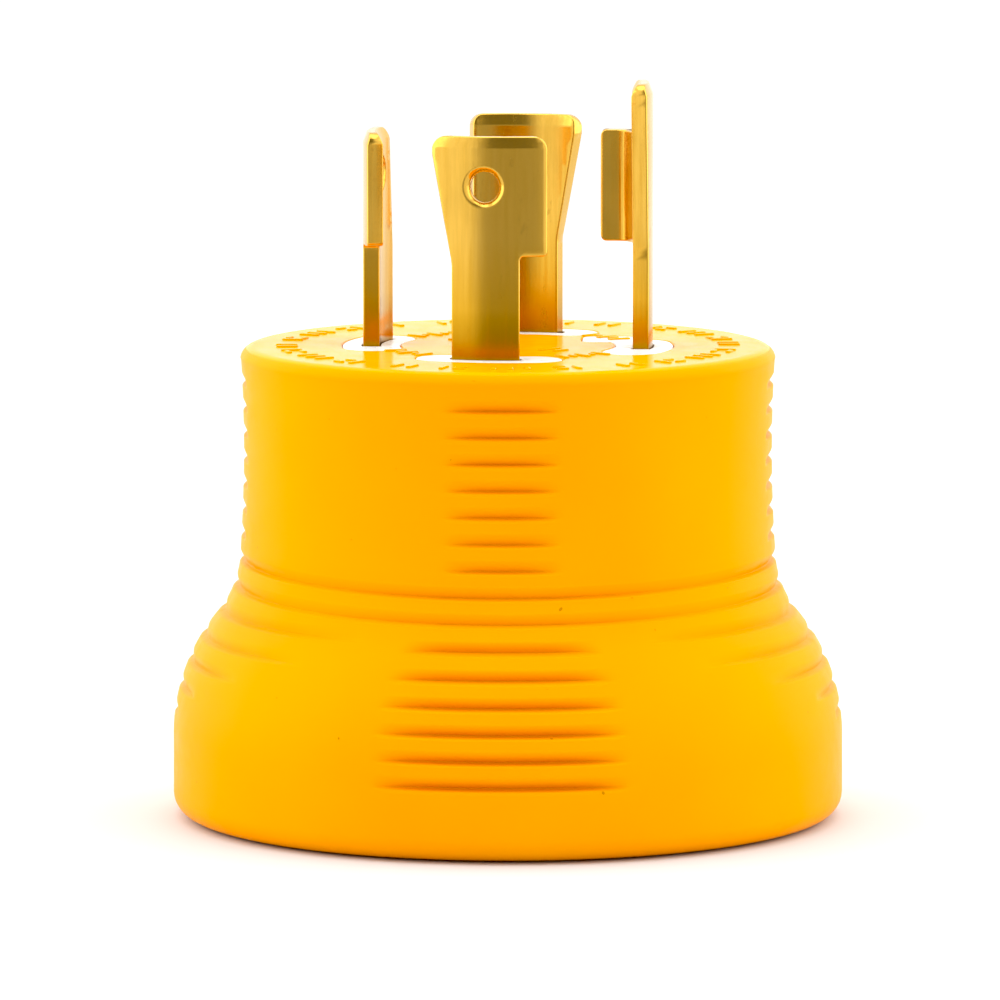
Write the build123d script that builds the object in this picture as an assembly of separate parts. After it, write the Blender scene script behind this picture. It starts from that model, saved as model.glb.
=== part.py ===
from build123d import *
import os
from math import asin, atan, cos, degrees, radians, sin, sqrt

# Compact power adapter ("dogbone" without a cable): a four-blade locking plug moulded onto a four-pole
# straight-blade socket. Millimetres. The origin is the centre of the socket end, which stands at z = 0,
# and +Z points out of the plug end. The X leg is at -Y, the Y leg at +Y, neutral at -X, ground at +X.

# Yellow overmoulding, outside
BASE_R = 33.85
NECK_R = 27.0
WAIST_R = 26.65
WAIST_Z = 37.4
FACE_Z = 47.5
FLARE_LOW_Z = 8.1
FLARE_TOP_Z = 27.1
FLARE_CONVEX_R = 19.0
TOP_FILLET = 1.4
BASE_FILLET = 2.3

# Grip grooves: two full rings, short ones above them, and sets that follow the flare below them.
# The sets on the front and back lie a little lower than those on the sides
GROOVE_PITCH = 2.56
UPPER_FRONT_PITCH = 2.64
FRONT_RING_Z = 25.2
SIDE_RING_Z = 25.9
GROOVE_DEPTH = 0.5
FRONT_GROOVE_DEPTH = 1.0
GROOVE_TOOL_R = 0.6
UPPER_COUNT = 7
UPPER_HALF_ANGLE = 12.0
FRONT_HALF_WIDTHS = (9.3, 10.4, 11.2, 11.7, 11.9, 12.1)
SIDE_HALF_ANGLES = (62.0, 50.0, 34.0, 20.0, 10.0)

# Locking blades: arcs of strip on one circle. Angles run anticlockwise from each blade's own direction
BLADE_OUTER_R = 14.6
BLADE_THICKNESS = 1.65
BLADE_HEIGHTS = {"x": 22.2, "y": 22.3, "neutral": 21.7, "ground": 26.6}
HOOK_Z = FACE_Z + 10.3
TAPER_LOW_Z = FACE_Z + 9.6
TAPER_TOP_Z = FACE_Z + 20.4
GROUND_TAPER_TOP_Z = FACE_Z + 24.8
TIP_BEVEL_HEIGHT = 1.2
TIP_BEVEL_DEPTH = 0.45
TIP_CORNER_R = 1.2
SHOULDER_R = 0.8
NECK_BEND_R = 6.0
TAIL_HALF_ANGLE = 7.0
STEM_SINK = 9.0
HOOK_CORNER_R = 0.4
BLADE_HOLE_R = 1.55
BLADE_HOLE_HEIGHT = 17.2
BLADE_HOLE_ANGLE = -8.2
COUNTERSINK = 0.4
STEMS = {"x": (-21.4, 6.0), "y": (-21.4, 6.0), "neutral": (-25.0, 6.0), "ground": (-14.0, 6.0)}
HEADS = {"x": (-30.0, 17.0), "y": (-30.0, 17.0), "neutral": (-22.0, 17.0), "ground": (-17.0, 28.0)}
STRIP_ANGLES = (-45.0, 45.0)
GROUND_TIP_ANGLE = 17.0
TAB_INNER_X = 9.25
TAB_Y = 5.75
TAB_ROOT_Y = 4.8
TAB_LOW_Z = FACE_Z + 10.0
TAB_TOP_Z = FACE_Z + 21.3
TAB_BEND_R = 1.6
TAB_INNER_BEND_R = 0.8

# White carrier that holds the blades, flush with the yellow face as four kidney-shaped bosses
CARRIER_R = 21.9
CARRIER_BOTTOM_Z = 38.3
CARRIER_TOP_Z = 44.8
BOSS_WIDTH = 5.8
BOSS_ANGLE = -7.0
BOSS_HALF_ARC = 18.9
GROUND_ARM = ((7.4, 3.2), (13.0, 8.6))
ARM_SLOT = ((9.4, 5.6), (12.1, 5.95))
ARM_SLOT_DEPTH = 1.0

# Socket end: a four-pole straight-blade pattern with a round ground hole
FACE_R = 27.2
FACE_RECESS = 0.3
FACE_PLATE_TOP_Z = 4.5
HOUSING_R = 24.6
HOUSING_TOP_Z = 19.5
HOT_SLOT_Y = 13.5
NEUTRAL_SLOT_X = -16.7
GROUND_HOLE_X = 17.5
SLOT_LENGTH = 13.3
SLOT_WIDTH = 2.4
GROUND_HOLE_R = 3.65
MOUTH_CHAMFER = 0.4

# Female contacts and their steel clips
CONTACT_LENGTH = 11.0
CONTACT_HALF_WIDTH = 1.2
CONTACT_FLARE = 0.8
CONTACT_GAUGE = 0.9
CONTACT_BRIDGE_Z = 16.4
CONTACT_MOUTH_Z = 5.2
CONTACT_NIP_Z = 8.5
GROUND_TUBE_R = 3.45
CLIP_LENGTH = 8.0
CLIP_GAUGE = 0.5
CLIP_LOW_Z = 8.6
POCKET_TOP_Z = 17.7
POCKET_WIDTH = 5.2
GROUND_POCKET_R = 5.1

# Conductors between blade and contact
LEAD_ANGLE = -5.0
CORE_R = 1.3
SLEEVE_R = 2.25
BARREL_R = 2.3
BARREL_BORE_R = 1.33
CONTACT_BARREL_Z = (19.6, 25.5)
BLADE_BARREL_Z = (30.0, 36.5)
SLEEVE_Z = (25.7, 29.8)
CORE_Z = (20.4, 35.8)
CHANNEL_R = 2.5
FIT = 0.05

BLADE_INNER_R = BLADE_OUTER_R - BLADE_THICKNESS
BLADE_MID_R = BLADE_OUTER_R - BLADE_THICKNESS / 2
DIRECTIONS = {"x": -90.0, "y": 90.0, "neutral": 180.0, "ground": 0.0}
SLOT_CENTRES = {"x": (0, -HOT_SLOT_Y), "y": (0, HOT_SLOT_Y), "neutral": (NEUTRAL_SLOT_X, 0)}


def on_circle(radius, angle):
    return radius * cos(radians(angle)), radius * sin(radians(angle))


def cylinder_between(radius, low_z, high_z, centre=(0, 0)):
    solid = Cylinder(radius, high_z - low_z, align=(Align.CENTER, Align.CENTER, Align.MIN))
    return Pos(centre[0], centre[1], low_z) * solid


def box_between(low, high):
    size = [b - a for a, b in zip(low, high)]
    return Pos(*low) * Box(*size, align=(Align.MIN, Align.MIN, Align.MIN))


def lead_place(pole):
    return on_circle(BLADE_MID_R, DIRECTIONS[pole] + LEAD_ANGLE)


# ---------------------------------------------------------------- yellow overmoulding
def flare_arcs():
    """Slope angle, concave radius and joint height of the two tangent arcs of the flare."""
    rise = FLARE_TOP_Z - FLARE_LOW_Z
    slope = 2 * atan((BASE_R - NECK_R) / rise)
    concave_r = rise / sin(slope) - FLARE_CONVEX_R
    return slope, concave_r, FLARE_LOW_Z + FLARE_CONVEX_R * sin(slope)


def body_radius(z):
    """Outside radius of the moulding at height z, without its grooves."""
    _, concave_r, joint_z = flare_arcs()
    if z <= FLARE_LOW_Z:
        return BASE_R
    if z <= joint_z:
        return BASE_R - FLARE_CONVEX_R + sqrt(FLARE_CONVEX_R**2 - (z - FLARE_LOW_Z) ** 2)
    if z < FLARE_TOP_Z:
        return NECK_R + concave_r - sqrt(concave_r**2 - (FLARE_TOP_Z - z) ** 2)
    sag = 1 - ((z - WAIST_Z) / (WAIST_Z - FLARE_TOP_Z)) ** 2
    return NECK_R - (NECK_R - WAIST_R) * sag


def body_outline():
    slope, _, joint_z = flare_arcs()
    half = slope / 2
    corner_z = FACE_Z - TOP_FILLET
    convex_mid = (
        BASE_R - FLARE_CONVEX_R * (1 - cos(half)),
        FLARE_LOW_Z + FLARE_CONVEX_R * sin(half),
    )
    concave_r = flare_arcs()[1]
    concave_mid = (
        NECK_R + concave_r * (1 - cos(half)),
        FLARE_TOP_Z - concave_r * sin(half),
    )
    joint = (body_radius(joint_z), joint_z)
    shift = sqrt(0.5)
    with BuildLine() as outline:
        Polyline((0, FACE_Z), (0, 0), (BASE_R - BASE_FILLET, 0))
        ThreePointArc(
            (BASE_R - BASE_FILLET, 0),
            (BASE_R - BASE_FILLET * (1 - shift), BASE_FILLET * (1 - shift)),
            (BASE_R, BASE_FILLET),
        )
        Line((BASE_R, BASE_FILLET), (BASE_R, FLARE_LOW_Z))
        ThreePointArc((BASE_R, FLARE_LOW_Z), convex_mid, joint)
        ThreePointArc(joint, concave_mid, (NECK_R, FLARE_TOP_Z))
        ThreePointArc((NECK_R, FLARE_TOP_Z), (WAIST_R, WAIST_Z), (NECK_R, corner_z))
        ThreePointArc(
            (NECK_R, corner_z),
            (NECK_R - TOP_FILLET * (1 - shift), FACE_Z - TOP_FILLET * (1 - shift)),
            (NECK_R - TOP_FILLET, FACE_Z),
        )
        Line((NECK_R - TOP_FILLET, FACE_Z), (0, FACE_Z))
    return outline.line


def crescent_cutter(z, direction, half_angle, depth=GROOVE_DEPTH):
    """A ring set off-centre, so the groove that it cuts fades to nothing at half_angle to each side."""
    radius = body_radius(z)
    floor = radius - depth
    off = (radius**2 - floor**2) / (2 * (floor - radius * cos(radians(half_angle))))
    x, y = on_circle(off, direction)
    return Pos(-x, -y, z) * Torus(floor + off + GROOVE_TOOL_R, GROOVE_TOOL_R)


def groove_cutters():
    cutters = []
    for i in range(2):
        z = (FRONT_RING_Z + SIDE_RING_Z) / 2 - GROOVE_PITCH * i
        cutters.append(Pos(0, 0, z) * Torus(body_radius(z) - GROOVE_DEPTH + GROOVE_TOOL_R, GROOVE_TOOL_R))
    for direction in (-90, 90):
        for i in range(UPPER_COUNT):
            z = FRONT_RING_Z + UPPER_FRONT_PITCH * (i + 1)
            cutters.append(crescent_cutter(z, direction, UPPER_HALF_ANGLE))
        for i, half_width in enumerate(FRONT_HALF_WIDTHS):
            z = FRONT_RING_Z - GROOVE_PITCH * (i + 2)
            half_angle = degrees(asin(half_width / body_radius(z)))
            cutters.append(crescent_cutter(z, direction, half_angle, FRONT_GROOVE_DEPTH))
    for direction in (0, 180):
        for i in range(UPPER_COUNT):
            z = SIDE_RING_Z + GROOVE_PITCH * (i + 1)
            cutters.append(crescent_cutter(z, direction, UPPER_HALF_ANGLE))
        for i, half_angle in enumerate(SIDE_HALF_ANGLES):
            cutters.append(crescent_cutter(SIDE_RING_Z - GROOVE_PITCH * (i + 2), direction, half_angle))
    return cutters


def boss_outline(direction):
    """Kidney-shaped outline of a white boss around one blade."""
    start = direction + BOSS_ANGLE - BOSS_HALF_ARC
    return SlotArc(CenterArc((0, 0), BLADE_MID_R, start, 2 * BOSS_HALF_ARC), BOSS_WIDTH)


def bosses():
    solids = [
        Pos(0, 0, CARRIER_TOP_Z) * extrude(boss_outline(direction), FACE_Z - CARRIER_TOP_Z)
        for direction in DIRECTIONS.values()
    ]
    low, high = GROUND_ARM
    solids.append(box_between((*low, CARRIER_TOP_Z), (*high, FACE_Z)))
    return solids


def make_overmold_shell():
    body = revolve(make_face(Plane.XZ * body_outline()), axis=Axis.Z)
    body -= groove_cutters()
    body -= cylinder_between(FACE_R + FIT, 0, FACE_PLATE_TOP_Z)
    body -= cylinder_between(HOUSING_R + FIT, 0, HOUSING_TOP_Z)
    body -= cylinder_between(CARRIER_R + FIT, 0, CARRIER_TOP_Z)
    return body - bosses()


# ---------------------------------------------------------------- plug end
def arc_strip(angles, low_z, high_z, bevel=True):
    """Brass strip bent to the blade circle between two angles, bevelled on both faces at its tip."""
    depth, height = (TIP_BEVEL_DEPTH, TIP_BEVEL_HEIGHT) if bevel else (0, 0)
    points = [
        (BLADE_INNER_R, low_z),
        (BLADE_OUTER_R, low_z),
        (BLADE_OUTER_R, high_z - height),
        (BLADE_OUTER_R - depth, high_z),
        (BLADE_INNER_R + depth, high_z),
        (BLADE_INNER_R, high_z - height),
    ]
    if not bevel:
        points = [points[0], points[1], points[2], points[5]]
    section = make_face(Plane.XZ * Polyline(*points, close=True))
    return Rot(0, 0, angles[0]) * revolve(section, axis=Axis.Z, revolution_arc=angles[1] - angles[0])


def side(angle):
    """Sideways place of an edge at this angle, on the blade circle."""
    return BLADE_OUTER_R * sin(radians(angle))


def cut_to_outline(strip, points, radii):
    """Keeps the part of a strip inside a flat outline, whose corners have the radii given."""
    outline = make_face(Polyline(*points, close=True))
    for point, radius in zip(points, radii):
        if radius:
            corner = outline.vertices().sort_by_distance(point)[0]
            outline = fillet(corner, radius)
    return strip & extrude(Plane.YZ * outline, 2 * BLADE_OUTER_R)


def blade_hole():
    """Round hole through a blade with both rims countersunk, along +X."""
    hole = Rot(0, 90, 0) * Cylinder(BLADE_HOLE_R, 4 * BLADE_THICKNESS)
    y = BLADE_MID_R * sin(radians(BLADE_HOLE_ANGLE))
    x = sqrt(BLADE_MID_R**2 - y**2)
    wide = BLADE_HOLE_R + COUNTERSINK
    outer_rim = Pos(BLADE_THICKNESS / 2, 0, 0) * Rot(0, 90, 0) * Cone(BLADE_HOLE_R, wide, COUNTERSINK * 2)
    inner_rim = Pos(-BLADE_THICKNESS / 2, 0, 0) * Rot(0, 90, 0) * Cone(wide, BLADE_HOLE_R, COUNTERSINK * 2)
    return Pos(x, y, FACE_Z + BLADE_HOLE_HEIGHT) * (hole + outer_rim + inner_rim)


def blade_tail():
    """Narrow tail and crimp barrel below the carrier, for a blade whose direction is +X."""
    angles = (LEAD_ANGLE - TAIL_HALF_ANGLE, LEAD_ANGLE + TAIL_HALF_ANGLE)
    tail = arc_strip(angles, BLADE_BARREL_Z[1] - 2, CARRIER_BOTTOM_Z + 1, False)
    centre = on_circle(BLADE_MID_R, LEAD_ANGLE)
    barrel = cylinder_between(BARREL_R, *BLADE_BARREL_Z, centre)
    bore = cylinder_between(BARREL_BORE_R, BLADE_BARREL_Z[0] - 1, BLADE_BARREL_Z[1] - 0.5, centre)
    return tail + barrel - bore


def make_locking_blade(pole):
    stem, head = STEMS[pole], HEADS[pole]
    low_z = FACE_Z - STEM_SINK
    top_z = FACE_Z + BLADE_HEIGHTS[pole]
    points = [
        (side(stem[0]), low_z),
        (side(stem[1]), low_z),
        (side(stem[1]), HOOK_Z),
        (side(head[1]), HOOK_Z),
        (side(head[1]), top_z),
        (side(head[0]), top_z),
        (side(head[0]), TAPER_TOP_Z),
        (side(stem[0]), TAPER_LOW_Z),
    ]
    radii = [0, 0, HOOK_CORNER_R, HOOK_CORNER_R, TIP_CORNER_R, TIP_CORNER_R, SHOULDER_R, NECK_BEND_R]
    blade = cut_to_outline(arc_strip(STRIP_ANGLES, low_z, top_z), points, radii)
    return Rot(0, 0, DIRECTIONS[pole]) * (blade + blade_tail() - blade_hole())


def ground_tab():
    """Tab folded inwards from the far edge of the ground blade."""
    far_y = TAB_Y + BLADE_THICKNESS
    root_x = sqrt(BLADE_INNER_R**2 - TAB_ROOT_Y**2)
    points = [
        (TAB_INNER_X, TAB_Y),
        (root_x, TAB_Y),
        (root_x, TAB_ROOT_Y),
        (root_x + BLADE_THICKNESS / 2, TAB_ROOT_Y),
        (root_x + BLADE_THICKNESS / 2, far_y),
        (TAB_INNER_X, far_y),
    ]
    outline = make_face(Polyline(*points, close=True))
    for point, radius in ((points[1], TAB_INNER_BEND_R), (points[4], TAB_BEND_R)):
        outline = fillet(outline.vertices().sort_by_distance(point)[0], radius)
    return Pos(0, 0, TAB_LOW_Z) * extrude(outline, TAB_TOP_Z - TAB_LOW_Z)


def make_ground_blade():
    stem, head = STEMS["ground"], HEADS["ground"]
    low_z = FACE_Z - STEM_SINK
    top_z = FACE_Z + BLADE_HEIGHTS["ground"]
    points = [
        (side(stem[0]), low_z),
        (side(stem[1]), low_z),
        (side(stem[1]), TAB_LOW_Z),
        (side(head[1]), TAB_LOW_Z),
        (side(head[1]), TAB_TOP_Z),
        (side(GROUND_TIP_ANGLE), TAB_TOP_Z),
        (side(GROUND_TIP_ANGLE), top_z),
        (side(head[0]), top_z),
        (side(head[0]), GROUND_TAPER_TOP_Z),
        (side(stem[0]), TAPER_LOW_Z),
    ]
    radii = [0, 0, HOOK_CORNER_R, 0, 0, HOOK_CORNER_R, TIP_CORNER_R, TIP_CORNER_R, 0, NECK_BEND_R]
    blade = cut_to_outline(arc_strip(STRIP_ANGLES, low_z, top_z), points, radii)
    return blade + ground_tab() + blade_tail()


def make_plug_carrier():
    carrier = cylinder_between(CARRIER_R, CARRIER_BOTTOM_Z, CARRIER_TOP_Z)
    carrier += bosses()
    low_z, high_z = CARRIER_BOTTOM_Z - 1, FACE_Z + 1
    for pole, direction in DIRECTIONS.items():
        low, high = (side(angle) for angle in STEMS[pole])
        corners = [(low - FIT, low_z), (high + FIT, low_z), (high + FIT, high_z), (low - FIT, high_z)]
        slot = cut_to_outline(arc_strip(STRIP_ANGLES, low_z, high_z, False), corners, [0] * 4)
        carrier -= Rot(0, 0, direction) * slot
    low, high = ARM_SLOT
    return carrier - box_between((*low, FACE_Z - ARM_SLOT_DEPTH), (*high, FACE_Z + 1))


# ---------------------------------------------------------------- socket end
def slot_box(pole, length, width, low_z, high_z):
    x, y = SLOT_CENTRES[pole]
    return box_between((x - length / 2, y - width / 2, low_z), (x + length / 2, y + width / 2, high_z))


def make_socket_face():
    face = cylinder_between(FACE_R, FACE_RECESS, FACE_PLATE_TOP_Z)
    rim = face.edges().filter_by(GeomType.CIRCLE).sort_by(Axis.Z)[0]
    face = chamfer(rim, MOUTH_CHAMFER)
    for pole in SLOT_CENTRES:
        face -= slot_box(pole, SLOT_LENGTH, SLOT_WIDTH, -1, FACE_PLATE_TOP_Z + 1)
    return face - cylinder_between(GROUND_HOLE_R, -1, FACE_PLATE_TOP_Z + 1, (GROUND_HOLE_X, 0))


def stem_slot(pole, margin):
    """Flat link between a contact and its crimp barrel, or the slot for it when a margin is given."""
    x, y = lead_place(pole)
    half_length, half_width = 2.0 + margin, 0.5 + margin
    return box_between(
        (x - half_length, y - half_width, CONTACT_BRIDGE_Z),
        (x + half_length, y + half_width, CONTACT_BARREL_Z[0] + 0.4),
    )


def make_contact_housing():
    housing = cylinder_between(HOUSING_R, FACE_PLATE_TOP_Z, HOUSING_TOP_Z)
    for pole in SLOT_CENTRES:
        housing -= slot_box(pole, CONTACT_LENGTH + 0.6, POCKET_WIDTH, FACE_PLATE_TOP_Z - 1, POCKET_TOP_Z)
    housing -= cylinder_between(GROUND_POCKET_R, FACE_PLATE_TOP_Z - 1, POCKET_TOP_Z, (GROUND_HOLE_X, 0))
    for pole in DIRECTIONS:
        housing -= stem_slot(pole, 0.2)
    return housing


def contact_barrel(pole):
    centre = lead_place(pole)
    barrel = cylinder_between(BARREL_R, *CONTACT_BARREL_Z, centre)
    bore = cylinder_between(BARREL_BORE_R, CONTACT_BARREL_Z[0] + 0.6, CONTACT_BARREL_Z[1] + 1, centre)
    return barrel + stem_slot(pole, 0) - bore


def folded_strip(points, gauge, length, pole):
    """Strip folded along a line in the YZ plane and centred on its slot."""
    x, y = SLOT_CENTRES[pole]
    fold = trace(FilletPolyline(*points, radius=gauge), gauge)
    return Pos(x - length / 2, y, 0) * extrude(Plane.YZ * fold, length)


def make_blade_contact(pole):
    half = CONTACT_HALF_WIDTH
    points = [
        (-half - CONTACT_FLARE, CONTACT_MOUTH_Z),
        (-half, CONTACT_NIP_Z),
        (-half, CONTACT_BRIDGE_Z),
        (half, CONTACT_BRIDGE_Z),
        (half, CONTACT_NIP_Z),
        (half + CONTACT_FLARE, CONTACT_MOUTH_Z),
    ]
    return folded_strip(points, CONTACT_GAUGE, CONTACT_LENGTH, pole) + contact_barrel(pole)


def make_ground_contact():
    centre = (GROUND_HOLE_X, 0)
    tube = cylinder_between(GROUND_TUBE_R + CONTACT_GAUGE, CONTACT_MOUTH_Z, CONTACT_BRIDGE_Z + 0.45, centre)
    tube -= cylinder_between(GROUND_TUBE_R, CONTACT_MOUTH_Z - 1, CONTACT_BRIDGE_Z - 0.45, centre)
    for angle in (45, 135):
        tube -= Pos(*centre, CONTACT_MOUTH_Z + 4) * Rot(0, 0, angle) * Box(12, 0.8, 10)
    return tube + contact_barrel("ground")


def make_spring_clip(pole):
    half = CONTACT_HALF_WIDTH + CONTACT_GAUGE / 2 + CLIP_GAUGE / 2 + FIT
    top_z = CONTACT_BRIDGE_Z + CONTACT_GAUGE / 2 + CLIP_GAUGE / 2 + FIT
    points = [(-half, CLIP_LOW_Z), (-half, top_z), (half, top_z), (half, CLIP_LOW_Z)]
    return folded_strip(points, CLIP_GAUGE, CLIP_LENGTH, pole) - stem_slot(pole, 0.2)


def make_ground_clip():
    centre = (GROUND_HOLE_X, 0)
    inner_r = GROUND_TUBE_R + CONTACT_GAUGE + FIT
    ring = cylinder_between(inner_r + CLIP_GAUGE, CONTACT_MOUTH_Z + 2, CONTACT_MOUTH_Z + 8, centre)
    ring -= cylinder_between(inner_r, CONTACT_MOUTH_Z, CONTACT_BRIDGE_Z, centre)
    gap = box_between((0, -1.5, CONTACT_MOUTH_Z), (8, 1.5, CONTACT_BRIDGE_Z))
    return ring - Pos(*centre, 0) * gap


# ---------------------------------------------------------------- conductors and filler
def make_lead(pole):
    return cylinder_between(CORE_R, *CORE_Z, lead_place(pole))


def make_sleeve(pole):
    centre = lead_place(pole)
    bore = cylinder_between(BARREL_BORE_R, SLEEVE_Z[0] - 1, SLEEVE_Z[1] + 1, centre)
    return cylinder_between(SLEEVE_R, *SLEEVE_Z, centre) - bore


def make_inner_premold():
    filler = cylinder_between(CARRIER_R, HOUSING_TOP_Z, CARRIER_BOTTOM_Z)
    for pole in DIRECTIONS:
        filler -= cylinder_between(CHANNEL_R, HOUSING_TOP_Z - 1, CARRIER_BOTTOM_Z + 1, lead_place(pole))
    return filler


def make_nodes():
    nodes = {
        "overmold_shell": make_overmold_shell(),
        "plug_carrier": make_plug_carrier(),
        "blade_x": make_locking_blade("x"),
        "blade_y": make_locking_blade("y"),
        "blade_neutral": make_locking_blade("neutral"),
        "blade_ground": make_ground_blade(),
        "socket_face": make_socket_face(),
        "contact_housing": make_contact_housing(),
        "inner_premold": make_inner_premold(),
        "contact_ground": make_ground_contact(),
        "spring_clip_ground": make_ground_clip(),
    }
    for pole in SLOT_CENTRES:
        nodes[f"contact_{pole}"] = make_blade_contact(pole)
        nodes[f"spring_clip_{pole}"] = make_spring_clip(pole)
    for pole in DIRECTIONS:
        nodes[f"lead_{pole}"] = make_lead(pole)
        nodes[f"sleeve_{pole}"] = make_sleeve(pole)
    return nodes


os.makedirs("parts", exist_ok=True)
for name, solid in make_nodes().items():
    solid.label = name
    export_step(solid, f"parts/{name}.step")
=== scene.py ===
from math import atan, atan2, cos, pi, radians, sin, sqrt, tan

import bmesh
import bpy
import numpy as np
from mathutils import Matrix, Vector
from mathutils.geometry import delaunay_2d_cdt


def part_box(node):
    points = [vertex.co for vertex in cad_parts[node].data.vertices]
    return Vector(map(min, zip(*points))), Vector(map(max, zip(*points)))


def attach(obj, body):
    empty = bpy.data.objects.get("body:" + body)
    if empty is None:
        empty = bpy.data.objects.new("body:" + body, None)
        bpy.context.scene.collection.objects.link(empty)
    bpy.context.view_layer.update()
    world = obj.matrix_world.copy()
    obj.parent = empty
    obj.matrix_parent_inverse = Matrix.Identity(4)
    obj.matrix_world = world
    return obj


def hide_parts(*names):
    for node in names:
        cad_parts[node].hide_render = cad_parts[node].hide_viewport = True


# Looks of a compact four-pole locking plug moulded onto a straight-blade socket.
# Sizes are in millimetres and are scaled once, when a mesh is made. The frame gives the main ones.
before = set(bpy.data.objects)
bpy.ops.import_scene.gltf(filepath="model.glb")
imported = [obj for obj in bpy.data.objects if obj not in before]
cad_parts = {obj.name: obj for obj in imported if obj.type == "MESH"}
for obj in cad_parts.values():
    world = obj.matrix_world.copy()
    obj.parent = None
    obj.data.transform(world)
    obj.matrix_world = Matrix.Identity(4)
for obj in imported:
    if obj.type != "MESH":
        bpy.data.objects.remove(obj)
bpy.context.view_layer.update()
MM = 0.001

# ---------------------------------------------------------------- driving dimensions
BASE_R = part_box("overmold_shell")[1].x / MM
FACE_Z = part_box("overmold_shell")[1].z / MM
BLADE_TOPS = {pole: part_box(f"blade_{pole}")[1].z / MM for pole in ("x", "y", "neutral", "ground")}
CARRIER_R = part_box("plug_carrier")[1].x / MM
CARRIER_LOW_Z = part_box("plug_carrier")[0].z / MM
SOCKET_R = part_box("socket_face")[1].x / MM
SOCKET_LOW_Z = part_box("socket_face")[0].z / MM
SOCKET_TOP_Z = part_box("socket_face")[1].z / MM

# Yellow moulding
NECK_R = 27.0
WAIST_R = 26.65
WAIST_Z = 37.4
FLARE_LOW_Z = 8.1
FLARE_TOP_Z = 27.1
FLARE_CONVEX_R = 19.0
TOP_FILLET = 1.4
BASE_FILLET = 2.3
CEILING_Z = 44.8
HOUSING_TOP_Z = 19.5
HOUSING_R = 24.65
GAP = 0.05

# Grip grooves: the upper wall of each leans in slowly, and its lower wall steps straight out.
# Those on the front and back lie a little lower than those on the sides.
GROOVE_PITCH = 2.56
UPPER_FRONT_PITCH = 2.64
FRONT_RING_Z = 25.2
SIDE_RING_Z = 25.9
GROOVE_RISE = 1.15
GROOVE_STEP = 0.3
ROW_STEP = 0.08
UPPER_COUNT = 7
UPPER_HALF_ANGLE = 12.5
UPPER_DEPTH = 0.75
RING_DEPTH = 0.7
RING_CORNER_SHARE = 0.6
FRONT_HALF_WIDTHS = (9.8, 11.0, 11.8, 12.2, 12.4, 12.6)
FRONT_DEPTH = 1.15
SIDE_HALF_ANGLES = (62.0, 50.0, 34.0, 20.0, 10.0)
SIDE_DEPTH = 0.6

# Brass blades, bent to one circle
BLADE_OUTER_R = 14.6
BLADE_THICKNESS = 1.65
HOOK_Z = FACE_Z + 10.3
TAPER_LOW_Z = FACE_Z + 9.6
TAPER_TOP_Z = FACE_Z + 20.4
GROUND_TAPER_TOP_Z = FACE_Z + 24.8
TIP_BEVEL_HEIGHT = 1.15
TIP_BEVEL_DEPTH = 0.42
TIP_CORNER_R = 1.2
HOLE_R = 1.55
HOLE_Z = FACE_Z + 17.2
HOLE_ANGLE = -8.2
COUNTERSINK = 0.42
STEMS = {"x": (-21.4, 6.0), "y": (-21.4, 6.0), "neutral": (-25.0, 6.0), "ground": (-14.0, 6.0)}
HEADS = {"x": (-30.0, 17.0), "y": (-30.0, 17.0), "neutral": (-22.0, 17.0), "ground": (-17.0, 28.0)}
GROUND_TIP_ANGLE = 17.0
TAB_INNER_X = 9.25
TAB_Y = 5.75
TAB_ROOT_Y = 4.2
TAB_BEND_R = 1.4
TAB_CORNER_R = 0.6
TAB_LOW_Z = FACE_Z + 10.0
TAB_TOP_Z = FACE_Z + 21.3
BARREL_R = 2.3
BARREL_BORE_R = 1.33
BARREL_Z = (30.0, 36.5)
LEAD_ANGLE = -5.0

# White carrier
BOSS_WIDTH = 5.8
BOSS_ANGLE = -7.0
BOSS_HALF_ARC = 18.9
GROUND_ARM = ((7.4, 3.2), (13.0, 8.6))
ARM_SLOT = ((9.4, 5.6), (12.1, 5.95))

# Socket end
HOT_SLOT_Y = 13.5
NEUTRAL_SLOT_X = -16.7
GROUND_HOLE_X = 17.5
SLOT_LENGTH = 13.3
SLOT_WIDTH = 2.4
GROUND_HOLE_R = 3.65

DIRECTIONS = {"x": -90.0, "y": 90.0, "neutral": 180.0, "ground": 0.0}
TURNS = 360

# Studio: the dim wall in front of the object is turned a little to the right. It fades out between two
# angles to either side, and gets dimmer between two heights. The floor and the camera are in metres.
FRONT_WALL_TURN = 5.0
FRONT_WALL_ANGLES = (22.0, 34.0)
FRONT_CEILING_ANGLES = (18.0, 34.0)
FRONT_WALL_LEVEL = 0.55
FRONT_CEILING_LEVEL = 0.25
STUDIO_LEVEL = 1.42
BACKDROP_LEVEL = 1.05
BLACK_LEVEL = 0.013
FLOOR_R = 0.42
FLOOR_PLACE = (0, 0.22, -0.0002)
CAMERA_DISTANCE = 0.95
CAMERA_ELEVATION = 7.0
CAMERA_AZIMUTH = 1.4
CAMERA_AIM = (-0.0008, 0, 0.03175)
CAMERA_LENS = 338.6


# ---------------------------------------------------------------- outlines
def on_circle(radius, angle):
    return Vector((radius * cos(radians(angle)), radius * sin(radians(angle))))


def circle(radius, centre=(0, 0), count=64):
    return [Vector(centre) + on_circle(radius, 360 * i / count) for i in range(count)]


def turned(outline, angle):
    turn = Matrix.Rotation(radians(angle), 2)
    return [turn @ p for p in outline]


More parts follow.
